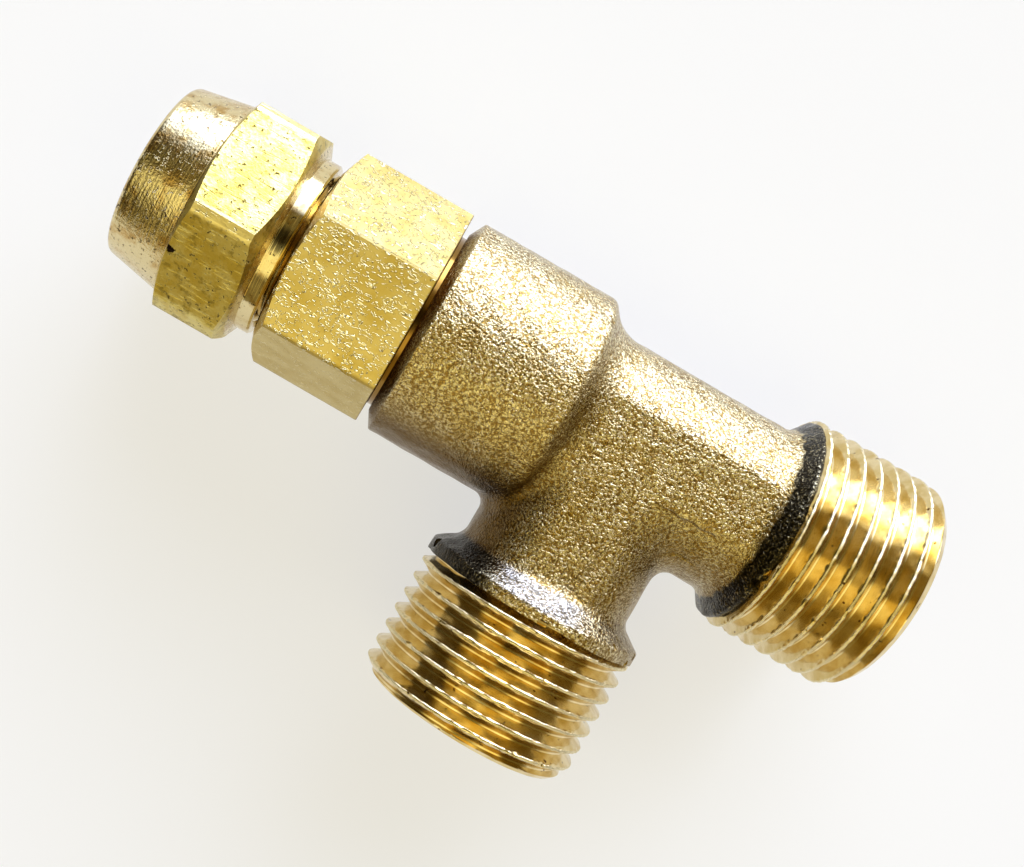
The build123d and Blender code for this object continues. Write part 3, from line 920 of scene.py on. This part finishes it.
def spring_steel():
    """Drawn stainless wire: bright grey, with faint lines along it from the die."""
    material, tree, shader, place = new_material("stainless_wire_drawn")
    draw = add(tree, "ShaderNodeTexNoise", {"Vector": place, "Scale": 1 / (DRAW_LINE_MM * MM)})
    tree.links.new(layered(tree, "#8E8F90", [("#C4C5C6", draw)]), shader.inputs["Base Color"])
    shader.inputs["Roughness"].default_value = 0.28
    bump = add(tree, "ShaderNodeBump", {"Height": draw, "Strength": 0.3, "Distance": 0.005 * MM})
    tree.links.new(bump.outputs[0], shader.inputs["Normal"])
    return material


def wound_wire(name, material):
    """Wind round wire about X, with a flat face at each of its ends."""
    rings = SPRING_TURNS * SPRING_STEPS + 1
    points = []
    for i in range(rings):
        angle = 2 * math.pi * i / SPRING_STEPS
        for k in range(WIRE_SIDES):
            round_wire = 2 * math.pi * k / WIRE_SIDES
            radius = SPRING_MEAN_R + SPRING_WIRE_R * math.cos(round_wire)
            x = spring_x(i / SPRING_STEPS) + SPRING_WIRE_R * math.sin(round_wire)
            points.append((x, radius * math.cos(angle), radius * math.sin(angle)))
    last_ring = (rings - 1) * WIRE_SIDES
    faces = [tuple(range(WIRE_SIDES)), tuple(range(last_ring + WIRE_SIDES - 1, last_ring - 1, -1))]
    for here in range(0, last_ring, WIRE_SIDES):
        ahead = here + WIRE_SIDES
        for k in range(WIRE_SIDES):
            m = (k + 1) % WIRE_SIDES
            faces.append((here + k, ahead + k, ahead + m, here + m))
    return new_piece(name, points, faces, material)


spring = wound_wire("spring_wire", spring_steel())
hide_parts("return_spring")
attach(spring, "valve")
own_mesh(spring)


# Inlet adapter
# Turned from drawn hexagon bar, whose flats keep the bar's pressed texture. A polished washer face
# closes on the barrel. It screws into the barrel on the right and takes the tube nut on the left.
ADAPTER_ACROSS = 15.0
ADAPTER_TURN = -18.6
ADAPTER_LEFT_X = -38.5
ADAPTER_RIGHT_X = -29.1
ADAPTER_EDGE = 0.12
ADAPTER_BEVEL_R = 6.9
ADAPTER_BEVEL_DEG = 22
EDGE_BREAK = 0.06
WASHER_R = 6.86
RING_NECK_R = 5.5
RING_NECK_LENGTH = 1.1
SCREW_R = 5.95
SCREW_BEVEL = 0.4
TUBE_END_X = -45.05
TUBE_THREAD_R = 5.95
TUBE_THREAD_PITCH = 1.0
TUBE_THREAD_DEPTH = 0.54
TUBE_THREAD_PHASE = 0.3
TUBE_THREAD_TEAR = 0.008
TUBE_THREAD_BORE = 5.1
TUBE_R = 4.05
TUBE_STOP_X = -41.45
SEAT_CONE_X = -42.75
SEAT_MOUTH_R = 4.98
AIR_BORE_R = 2.9
NOZZLE_R = 3.5
NOZZLE_TIP_X = -22.2
CURL_MM = 0.5
CLOUD_MM = 1.8
RING_MM = 0.14


def hexagon_columns(across, turn_deg, breaks, per_flat=24):
    """Angles round a hexagon with the radius of its outline, for six corner breaks in millimetres."""
    corner_r = across / 2 / math.cos(math.radians(30))
    spans = []
    for width in breaks:
        plane = corner_r - width / 2
        spans.append(math.atan((across / 2 - plane * math.cos(math.radians(30))) / (plane * 0.5)))
    out = []
    for i, width in enumerate(breaks):
        corner = math.radians(turn_deg + 60 * i)
        plane = corner_r - width / 2
        for k in range(-2, 3):
            off = spans[i] * k / 2
            out.append((corner + off, plane / math.cos(off)))
        first = corner + spans[i]
        last = corner + math.radians(60) - spans[(i + 1) % 6]
        for k in range(1, per_flat):
            angle = first + (last - first) * k / per_flat
            out.append((angle, across / 2 / math.cos(angle - corner - math.radians(30))))
    return [(angle + math.pi / 2, radius) for angle, radius in out]


def adapter_outline(flat):
    """Outline of the adapter where its hexagon is so far from the axis, from the tube end to its bore."""
    bevel = (flat - ADAPTER_BEVEL_R) * math.tan(math.radians(ADAPTER_BEVEL_DEG))
    core_r = TUBE_THREAD_R - TUBE_THREAD_DEPTH - 0.02
    return [
        (TUBE_END_X + 0.05, core_r),
        (ADAPTER_LEFT_X, core_r),
        (ADAPTER_LEFT_X, ADAPTER_BEVEL_R - 0.05),
        (ADAPTER_LEFT_X + 0.03, ADAPTER_BEVEL_R),
        (ADAPTER_LEFT_X + 0.03 + bevel, flat),
        (ADAPTER_RIGHT_X - EDGE_BREAK, flat),
        (ADAPTER_RIGHT_X, flat - EDGE_BREAK),
        (ADAPTER_RIGHT_X, WASHER_R + 0.08),
        (ADAPTER_RIGHT_X + EDGE_BREAK, WASHER_R),
        (BARREL_FACE_X - 0.05, WASHER_R),
        (BARREL_FACE_X, WASHER_R - 0.05),
        (BARREL_FACE_X, RING_NECK_R),
        (BARREL_FACE_X + RING_NECK_LENGTH, RING_NECK_R),
        (BARREL_FACE_X + RING_NECK_LENGTH, SCREW_R),
        (SCREW_END_X - SCREW_BEVEL, SCREW_R),
        (SCREW_END_X, SCREW_R - SCREW_BEVEL),
        (SCREW_END_X, NOZZLE_R),
        (NOZZLE_TIP_X, NOZZLE_R),
        (NOZZLE_TIP_X, AIR_BORE_R),
        (TUBE_STOP_X, AIR_BORE_R),
        (TUBE_STOP_X, TUBE_R),
        (SEAT_CONE_X, TUBE_R),
        (TUBE_END_X + 0.05, SEAT_MOUTH_R),
    ]


def drawn_hexagon_brass():
    """Drawn bar stock: flats pressed full of small curls with painted bright glints, turned faces with fine
    rings.
    """
    material, tree, shader, place = new_material("brass_drawn_hexagon")
    part = add(tree, "ShaderNodeSeparateXYZ", {0: place}).outputs
    flat = add(tree, "ShaderNodeCombineXYZ", {"X": part["Y"], "Y": part["Z"]})
    radius = add(tree, "ShaderNodeVectorMath", {0: flat}, operation="LENGTH").outputs["Value"]
    slant = add(tree, "ShaderNodeMapping", {"Vector": place, "Rotation": (0, 0, 0.9), "Scale": (1, 1.9, 1)})
    curl = add(
        tree,
        "ShaderNodeTexNoise",
        {"Vector": slant, "Scale": 1 / (CURL_MM * MM), "Detail": 1, "Distortion": 1.6},
    )
    cloud = add(tree, "ShaderNodeTexNoise", {"Vector": place, "Scale": 1 / (CLOUD_MM * MM), "Detail": 3})
    mask = {}
    for name, source, start, end, low, high in (
        ("on flat", radius, 7.0 * MM, 7.4 * MM, 0, 1),
        ("curls", curl, 0.57, 0.66, 0, 1),
        ("but low flat", part["Y"], -5.6 * MM, -5.9 * MM, 1, 0.35),
        ("clouded", cloud, 0.35, 0.7, 0, 1),
        ("at washer", part["X"], -29.2 * MM, -29.1 * MM, 0, 1),
        ("washer rim", radius, 6.6 * MM, 6.7 * MM, 0, 1),
    ):
        mask[name] = add(
            tree,
            "ShaderNodeMapRange",
            {"Value": source, "From Min": start, "From Max": end, "To Min": low, "To Max": high},
            interpolation_type="SMOOTHSTEP",
        )
    # The curls are pressed into the flats and bump them; their pale colour is a painted glint. The low flat
    # has fewer.
    curls = add(tree, "ShaderNodeMath", {0: mask["curls"], 1: mask["on flat"]}, operation="MULTIPLY")
    pressed = add(tree, "ShaderNodeMath", {0: curls, 1: mask["but low flat"]}, operation="MULTIPLY")
    # Painted shade: the washer face's outer ring is dark brown, for the shade in the gap by the barrel
    colour = layered(
        tree,
        "#D0BC7A",
        [
            ("#C2AA5C", mask["clouded"]),
            ("#F4E8B8", pressed),
            ("#8C6A30", mask["at washer"], mask["washer rim"]),
        ],
    )
    tree.links.new(colour, shader.inputs["Base Color"])
    shine = add(
        tree,
        "ShaderNodeMapRange",
        {"Value": mask["on flat"], "To Min": 0.16, "To Max": 0.34},
        interpolation_type="SMOOTHSTEP",
    )
    tree.links.new(shine.outputs[0], shader.inputs["Roughness"])
    streak = add(tree, "ShaderNodeMapping", {"Vector": place, "Scale": ROUND_STREAK})
    rings = add(tree, "ShaderNodeTexNoise", {"Vector": streak, "Scale": 1 / (RING_MM * MM), "Detail": 1})
    ring_bump = add(tree, "ShaderNodeBump", {"Height": rings, "Strength": 0.5, "Distance": 0.01 * MM})
    bump = add(
        tree,
        "ShaderNodeBump",
        {"Height": pressed, "Normal": ring_bump, "Strength": 1.0, "Distance": 0.15 * MM},
    )
    tree.links.new(bump.outputs[0], shader.inputs["Normal"])
    return material


bar_brass = drawn_hexagon_brass()
adapter = lathe(
    "inlet_adapter_body",
    [
        (angle, adapter_outline(flat))
        for angle, flat in hexagon_columns(ADAPTER_ACROSS, ADAPTER_TURN, [ADAPTER_EDGE] * 6)
    ],
    bar_brass,
    closed=True,
)
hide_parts("inlet_adapter")
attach(adapter, "valve")

tube_thread_brass = cut_thread_brass("brass_thread_cut_tube", (0, 0, 0), (0, 0, 0), TUBE_THREAD_R)
tube_thread = threaded_end(
    thread_tree,
    "tube_thread",
    TUBE_THREAD_R,
    TUBE_THREAD_PITCH,
    TUBE_THREAD_DEPTH,
    ADAPTER_LEFT_X - TUBE_END_X,
    TUBE_THREAD_PHASE,
    TUBE_THREAD_BORE,
    tube_thread_brass,
    TUBE_THREAD_TEAR,
)
tube_thread.data.transform(
    Matrix.Translation((ADAPTER_LEFT_X * MM, 0, 0)) @ Matrix.Rotation(math.pi, 4, "Z")
)
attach(tube_thread, "valve")


# Ferrule
# A soft brass olive, turned with a long cone towards the adapter and a short one towards the nut. The
# nut presses it into the adapter's seat, where it closes round the tube.
FERRULE_R = 5.177
FERRULE_TIP_X = -43.58
FERRULE_TIP_WALL = 0.25
FERRULE_LAND_RIGHT_X = -45.55
FERRULE_LAND_LEFT_X = -46.25
FERRULE_BACK_X = -47.05
FERRULE_BACK_DROP = 0.8
ferrule_outline = rounded(
    [
        (FERRULE_TIP_X, TUBE_R),
        (FERRULE_TIP_X, TUBE_R + FERRULE_TIP_WALL),
        (FERRULE_LAND_RIGHT_X, FERRULE_R),
        (FERRULE_LAND_LEFT_X, FERRULE_R),
        (FERRULE_BACK_X, FERRULE_R - FERRULE_BACK_DROP),
        (FERRULE_BACK_X, TUBE_R),
    ],
    [0, 0.05, 0.15, 0.15, 0.1, 0],
)
ferrule_brass = turned_brass("brass_turned_ferrule", "#E6CB86", "#CBA95C", 0.2, 0.12)
olive = turned("tube_ferrule", ferrule_outline[::-1], ferrule_brass)
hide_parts("ferrule")
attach(olive, "olive")


# Tube nut
# Turned from hexagon bar, with a plain collar behind and a tapered nose in front. It has been
# handled: its corners are broken, one is rounded over, and the flats carry nicks.
NUT_ACROSS = 16.0
NUT_TURN = 7.2
NUT_EDGE = 0.4
NUT_WORN_EDGE = 1.1
NUT_BEVEL_DEG = 25
NUT_LEFT_X = -46.15
NUT_RIGHT_X = -40.0
NUT_REAR_R = 7.05
NUT_FACE_X = -38.9
NUT_COLLAR_R = 6.87
COLLAR_BEVEL = 0.15
NOSE_X = -50.6
NOSE_TIP_R = 6.62
NOSE_BASE_R = 7.5
NOSE_ROUND = 0.5
TUBE_HOLE_R = 4.08
TUBE_HOLE_BEVEL = 0.35
NUT_BORE_R = 6.0
NUT_BORE_BEVEL = 0.3
NUT_BORE_END_X = -45.95
NUT_CONE_R = 5.647
NUT_CONE_LENGTH = 1.567
NUT_PIT = (-45.65, -4.36, 6.73)
NICK_MM = 0.34


def nut_outline(flat):
    """Outline of the nut where its hexagon is so far from the axis, from the tube hole over the nose."""
    slope = math.tan(math.radians(NUT_BEVEL_DEG))
    hole_edge = (NOSE_X, TUBE_HOLE_R + TUBE_HOLE_BEVEL)
    nose = rounded([hole_edge, (NOSE_X, NOSE_TIP_R), (NUT_LEFT_X, NOSE_BASE_R)], [0, NOSE_ROUND, 0])
    return [
        (NOSE_X + TUBE_HOLE_BEVEL, TUBE_HOLE_R),
        *nose,
        (NUT_LEFT_X + (flat - NOSE_BASE_R) * slope, flat),
        (NUT_RIGHT_X - (flat - NUT_REAR_R) * slope, flat),
        (NUT_RIGHT_X, NUT_REAR_R),
        (NUT_RIGHT_X, NUT_COLLAR_R),
        (NUT_FACE_X - COLLAR_BEVEL, NUT_COLLAR_R),
        (NUT_FACE_X, NUT_COLLAR_R - COLLAR_BEVEL),
        (NUT_FACE_X, NUT_BORE_R + NUT_BORE_BEVEL),
        (NUT_FACE_X - NUT_BORE_BEVEL, NUT_BORE_R),
        (NUT_BORE_END_X, NUT_BORE_R),
        (NUT_BORE_END_X, NUT_CONE_R),
        (NUT_BORE_END_X - NUT_CONE_LENGTH, TUBE_HOLE_R),
    ]


def handled_nut_brass():
    """Turned and handled brass: rings on nose and collar; flats with nicks, scratches and olive stains."""
    material, tree, shader, place = new_material("brass_turned_nut")
    part = add(tree, "ShaderNodeSeparateXYZ", {0: place}).outputs
    flat = add(tree, "ShaderNodeCombineXYZ", {"X": part["Y"], "Y": part["Z"]})
    radius = add(tree, "ShaderNodeVectorMath", {0: flat}, operation="LENGTH").outputs["Value"]
    round_axis = add(tree, "ShaderNodeMapping", {"Vector": place, "Scale": ROUND_STREAK})
    along_axis = add(tree, "ShaderNodeMapping", {"Vector": place, "Scale": (0.1, 1, 1)})
    grain = {}
    for name, source, size_mm, detail, roughness in (
        ("stain", place, 1.3, 4, 0.6),
        ("smudge", place, 0.7, 4, 0.7),
        ("nick", place, NICK_MM, 3, 0.7),
        ("ring", round_axis, 0.16, 2, 0.5),
        ("scratch", along_axis, 0.2, 1, 0.5),
    ):
        grain[name] = add(
            tree,
            "ShaderNodeTexNoise",
            {"Vector": source, "Scale": 1 / (size_mm * MM), "Detail": detail, "Roughness": roughness},
        )
    mask = {}
    for name, source, start, end, low, high in (
        ("on flat", radius, 7.6 * MM, 7.9 * MM, 0, 1),
        ("on collar", part["X"], -40.1 * MM, -39.9 * MM, 0, 1),
        ("stained", grain["stain"], 0.38, 0.62, 0, 1),
        ("smudged", grain["smudge"], 0.52, 0.66, 0, 0.7),
        ("nose stained", grain["stain"], 0.45, 0.7, 0, 1),
        ("dirty", grain["nick"], 0.6, 0.67, 0, 1),
        ("rubbed", radius, 8.9 * MM, 9.05 * MM, 0, 0.6),
        ("scratched", grain["scratch"], 0.6, 0.7, 0, 1),
    ):
        mask[name] = add(
            tree,
            "ShaderNodeMapRange",
            {"Value": source, "From Min": start, "From Max": end, "To Min": low, "To Max": high},
            interpolation_type="SMOOTHSTEP",
        )
    for name, source, low, high in (
        ("worn shine", "on flat", 0.2, 0.34),
        ("collar shine", "on collar", 1, 0.5),
        ("off flat", "on flat", 1, 0),
        ("off collar", "on collar", 1, 0),
    ):
        mask[name] = add(
            tree,
            "ShaderNodeMapRange",
            {"Value": mask[source], "To Min": low, "To Max": high},
            interpolation_type="SMOOTHSTEP",
        )

    # Flats are olive and smudged, the nose warmer; dirt lies in the nicks, and the corners are rubbed
    flats = layered(tree, "#DCCB7C", [("#CDB554", mask["stained"]), ("#93823E", mask["smudged"])])
    nose = layered(tree, "#DCCB9A", [("#BE9B58", mask["nose stained"])])
    bare = add(tree, "ShaderNodeMix", {0: mask["on flat"], 6: nose, 7: flats}, data_type="RGBA").outputs[2]
    # Painted shade: the pit is near black for the shade in its hollow
    painted_pit_shade = spot(tree, place, NUT_PIT, 0.3, grain["nick"])
    marks = [("#5A4A1E", mask["dirty"]), ("#EBDCA4", mask["rubbed"]), ("#1E1206", painted_pit_shade)]
    colour = layered(tree, bare, marks)
    tree.links.new(colour, shader.inputs["Base Color"])
    for name, first, second, operation in (
        ("shine", mask["worn shine"], mask["collar shine"], "MULTIPLY"),
        ("rings", grain["ring"], mask["off flat"], "MULTIPLY"),
        ("scratches", mask["scratched"], mask["on flat"], "MULTIPLY"),
        ("nicked", grain["nick"], mask["dirty"], "SUBTRACT"),
    ):
        mask[name] = add(tree, "ShaderNodeMath", {0: first, 1: second}, operation=operation)
    nicks = add(tree, "ShaderNodeMath", {0: mask["nicked"], 1: mask["off collar"]}, operation="MULTIPLY")
    tree.links.new(mask["shine"].outputs[0], shader.inputs["Roughness"])
    rings = add(tree, "ShaderNodeBump", {"Height": mask["rings"], "Strength": 0.7, "Distance": 0.03 * MM})
    scratches = add(
        tree,
        "ShaderNodeBump",
        {"Height": mask["scratches"], "Normal": rings, "Strength": 0.6, "Distance": 0.03 * MM},
        invert=True,
    )
    bump = add(
        tree,
        "ShaderNodeBump",
        {"Height": nicks, "Normal": scratches, "Strength": 0.8, "Distance": 0.05 * MM},
    )
    tree.links.new(bump.outputs[0], shader.inputs["Normal"])
    return material


nut_breaks = [NUT_EDGE, NUT_WORN_EDGE] + [NUT_EDGE] * 4
nut = lathe(
    "tube_nut_body",
    [(angle, nut_outline(flat)) for angle, flat in hexagon_columns(NUT_ACROSS, NUT_TURN, nut_breaks)],
    handled_nut_brass(),
    closed=True,
)
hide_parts("compression_nut")
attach(nut, "tube_nut")


# Floor
# A plain pale table under the valve. It is matt paper white, wide enough to fill the picture, and it
# keeps the valve's soft shadow.
FLOOR_REACH = 4.0
FLOOR_WHITE = 0.62
floor_z = cad_box[0][2]
floor_mesh = bpy.data.meshes.new("floor")
floor_mesh.from_pydata(
    [(x * FLOOR_REACH, y * FLOOR_REACH, floor_z) for x, y in ((-1, -1), (1, -1), (1, 1), (-1, 1))],
    [],
    [(0, 1, 2, 3)],
)
floor = bpy.data.objects.new("floor", floor_mesh)
bpy.context.scene.collection.objects.link(floor)
paper = bpy.data.materials.new("paper_white_matt")
paper.use_nodes = True
paper_tree = paper.node_tree
paper_shader = paper_tree.nodes["Principled BSDF"]
paper_shader.inputs["Base Color"].default_value = linear("#F2F2F0")
paper_shader.inputs["Roughness"].default_value = 0.8

# The paper is pure white where it is looked at or mirrored, and part of its shadow stays on it
sight = add(paper_tree, "ShaderNodeLightPath").outputs
seen = sight["Is Camera Ray"]
for other_ray in ("Is Glossy Ray", "Is Transmission Ray"):
    seen = add(paper_tree, "ShaderNodeMath", {0: seen, 1: sight[other_ray]}, operation="MAXIMUM")
share = add(paper_tree, "ShaderNodeMath", {0: seen, 1: FLOOR_WHITE}, operation="MULTIPLY")
white = add(paper_tree, "ShaderNodeEmission", {"Strength": 1.0})
paper_mix = add(paper_tree, "ShaderNodeMixShader", {0: share, 1: paper_shader, 2: white})
paper_tree.links.new(paper_mix.outputs[0], paper_tree.nodes["Material Output"].inputs["Surface"])
floor_mesh.materials.append(paper)


# Light
# A plain room: a large low window on the far side, a warm lamp overhead on the near side, and dim brown
# walls with darker furniture. Straight above the valve it is dark, where the camera is.
DAYLIGHT = (0.84, 0.97, 1.4)
LAMPLIGHT = (1.0, 0.91, 0.48)
WALL_BROWN = (1.0, 0.78, 0.28)
FURNITURE_WIDTH = 0.5
world = bpy.data.worlds.new("room_with_window")
bpy.context.scene.world = world
world.use_nodes = True
room = world.node_tree
ray = add(room, "ShaderNodeSeparateXYZ", {0: add(room, "ShaderNodeTexCoord").outputs["Generated"]}).outputs
things = add(room, "ShaderNodeMath", {0: ray["X"], 1: 2 * math.pi / FURNITURE_WIDTH}, operation="MULTIPLY")
level = {"things": add(room, "ShaderNodeMath", {0: things}, operation="SINE")}
for name, source, start, end, low, high in (
    ("window top", ray["Y"], 0.6, 0.72, 0, 2.4),
    ("window foot", ray["Y"], 0.76, 0.92, 0, 7.5),
    ("lamp side", ray["Y"], -0.02, -0.16, 0, 1.25),
    ("lamp height", ray["Z"], 0.6, 0.76, 0, 1),
    ("wall", ray["X"], -0.8, -0.3, 0.06, 0.36),
    ("near wall", ray["Y"], -0.95, -0.7, 1.4, 1),
    ("furniture", level["things"], -0.6, 0.6, 0.5, 1.5),
    ("overhead", ray["Z"], 0.985, 0.92, 0.12, 1),
):
    level[name] = add(
        room,
        "ShaderNodeMapRange",
        {"Value": source, "From Min": start, "From Max": end, "To Min": low, "To Max": high},
        interpolation_type="SMOOTHSTEP",
    )
for name, first, second, operation in (
    ("window", "window top", "window foot", "ADD"),
    ("lamp", "lamp side", "lamp height", "MULTIPLY"),
    ("walls", "wall", "near wall", "MULTIPLY"),
    ("furnished", "walls", "furniture", "MULTIPLY"),
):
    level[name] = add(room, "ShaderNodeMath", {0: level[first], 1: level[second]}, operation=operation)
lit = None
for name, light_colour in (("window", DAYLIGHT), ("lamp", LAMPLIGHT), ("furnished", WALL_BROWN)):
    shining = add(room, "ShaderNodeVectorMath", {0: light_colour, "Scale": level[name]}, operation="SCALE")
    if lit:
        shining = add(room, "ShaderNodeVectorMath", {0: lit, 1: shining}, operation="ADD")
    lit = shining
shaded = add(room, "ShaderNodeVectorMath", {0: lit, "Scale": level["overhead"]}, operation="SCALE")
room.links.new(shaded.outputs[0], room.nodes["Background"].inputs["Color"])


# Camera
# It is straight above the valve, about a hand's breadth away. The picture is cut out of a larger one,
# so the lens is shifted to the side.
camera_data = bpy.data.cameras.new("camera")
camera_data.sensor_width = 36
camera_data.lens = 47.54
camera_data.shift_x = 0.128
camera_data.shift_y = -0.027
camera_data.clip_start = 0.005
camera_data.clip_end = 10
camera = bpy.data.objects.new("camera", camera_data)
bpy.context.scene.collection.objects.link(camera)
camera_right = Vector((0.8658, 0.5004, 0.0018)).normalized()
camera_back = Vector((-0.0163, 0.0246, 0.9996)).normalized()
camera_up = camera_back.cross(camera_right).normalized()
camera_right = camera_up.cross(camera_back)
camera_place = Vector((-29.65, -4.16, 97.66)) * MM
camera_axes = Matrix((camera_right, camera_up, camera_back)).transposed().to_4x4()
camera.matrix_world = Matrix.Translation(camera_place) @ camera_axes
bpy.context.scene.camera = camera
bpy.context.scene.view_settings.view_transform = "Standard"
